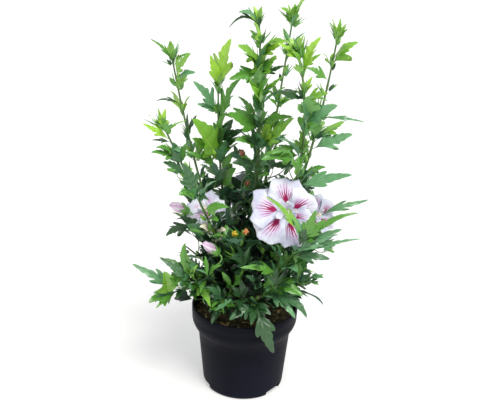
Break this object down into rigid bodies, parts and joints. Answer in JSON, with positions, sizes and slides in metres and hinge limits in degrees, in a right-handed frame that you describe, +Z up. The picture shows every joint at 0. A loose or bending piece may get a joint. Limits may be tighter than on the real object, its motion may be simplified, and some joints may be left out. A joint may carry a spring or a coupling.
{
  "type": "potted rose of sharon shrub",
  "caption": "Young multi-stemmed flowering shrub with upright leafy canes, low side shoots and large open flowers, growing in a round tapered nursery pot with a swelling collar.",
  "frame": {"origin": "centre of the flat underside of the pot", "axes": "+Z up along the plant, -Y towards its best side, +X to the viewer's right"},
  "size_m": [0.4137, 0.3406, 0.7107],
  "materials": {
    "pot": "soft satin moulded plastic",
    "soil": "damp composted bark",
    "bark": "green-brown young bark",
    "foliage": "fresh lobed leaves, paler underneath",
    "petal": "thin petals with a crimson eye"
  },
  "bodies": {
    "root": {"pot": "pot", "potting_soil": "soil", "main_stem": "bark", "bough_leader": "bark", "bough_far_left": "bark", "bough_left": "bark", "bough_mid_left": "bark", "bough_back": "bark", "bough_mid_right": "bark", "bough_right": "bark", "foliage_leader": "foliage", "foliage_far_left": "foliage", "foliage_left": "foliage", "foliage_mid_left": "foliage", "foliage_back": "foliage", "foliage_mid_right": "foliage", "foliage_right": "foliage", "foliage_low_left": "foliage", "foliage_left_rise": "foliage", "foliage_left_bloom": "foliage", "foliage_mid_left_low": "foliage", "foliage_front_left": "foliage", "foliage_mid_front": "foliage", "foliage_front": "foliage", "foliage_front_right": "foliage", "foliage_right_bloom": "foliage", "foliage_right_low": "foliage", "foliage_right_mid": "foliage", "foliage_right_side": "foliage", "foliage_back_right_low": "foliage", "foliage_back_right": "foliage", "foliage_back_low": "foliage", "foliage_back_mid": "foliage", "foliage_back_left": "foliage", "foliage_back_left_low": "foliage"}
  },
  "joints": []
}
